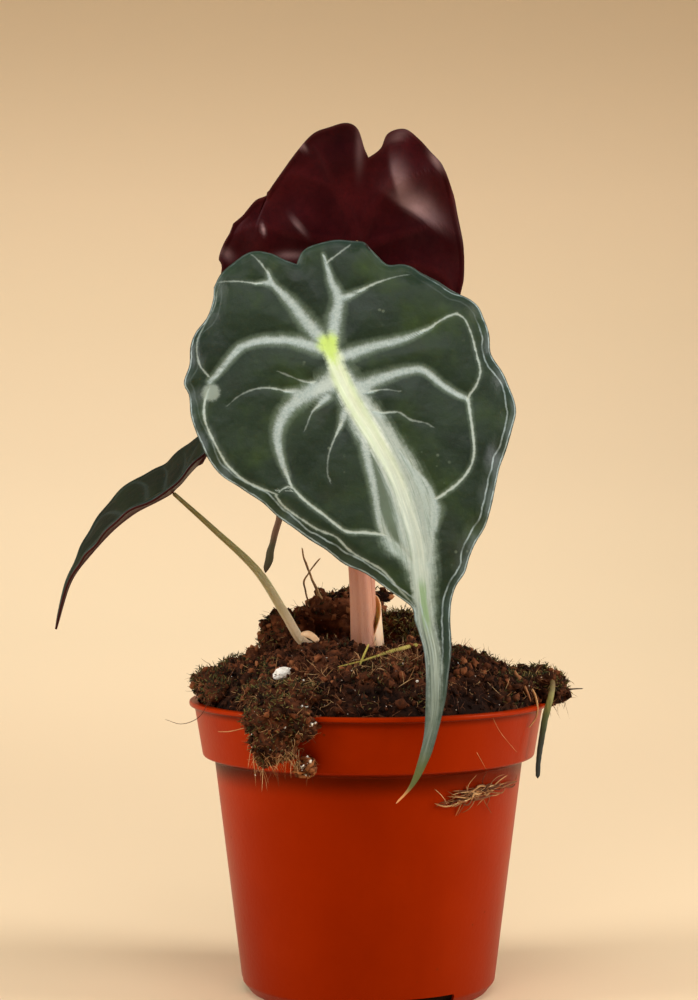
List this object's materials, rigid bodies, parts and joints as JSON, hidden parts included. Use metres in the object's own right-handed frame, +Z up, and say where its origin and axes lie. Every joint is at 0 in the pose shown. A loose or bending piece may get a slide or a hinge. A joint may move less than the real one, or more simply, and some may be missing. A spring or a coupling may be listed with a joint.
{
  "type": "potted venom alocasia",
  "caption": "Small aroid house plant with shield-shaped dark leaves on slim stalks, rooted in peat in a round tapered plastic nursery pot.",
  "frame": {"origin": "middle of the flat underside of the pot, on the pot's axis", "axes": "+Z up along the pot's axis, -Y towards the front, where the large leaf hangs over the rim, +X to the right as seen from the front"},
  "size_m": [0.1218, 0.0944, 0.2066],
  "materials": {
    "pot_plastic": "satin",
    "peat": "matte",
    "corm": "matte",
    "pink_stalk": "satin",
    "olive_stalk": "satin",
    "pale_sheath": "satin",
    "leaf": "satin",
    "leaf_underside": "gloss",
    "moss": "matte",
    "perlite": "matte",
    "straw": "matte"
  },
  "bodies": {
    "root": {"nursery_pot": "pot_plastic", "potting_soil": "peat", "rootstock": "corm", "front_leaf_stalk": "pink_stalk", "back_leaf_stalk": "pink_stalk", "left_leaf_stalk": "olive_stalk", "stalk_sheath": "pale_sheath", "front_leaf": "leaf", "back_leaf": "leaf_underside", "left_leaf": "leaf", "rear_peat_clod": "peat", "left_peat_clod": "peat", "moss_cushion": "moss", "left_rim_moss": "moss", "front_peat_clump": "peat", "right_peat_clump": "peat", "perlite_grain_1": "perlite", "perlite_grain_2": "perlite", "dead_leaf_strand": "straw", "straw_on_soil": "straw", "twig_1": "straw", "twig_2": "straw", "root_fibre_tuft": "straw"}
  },
  "joints": []
}
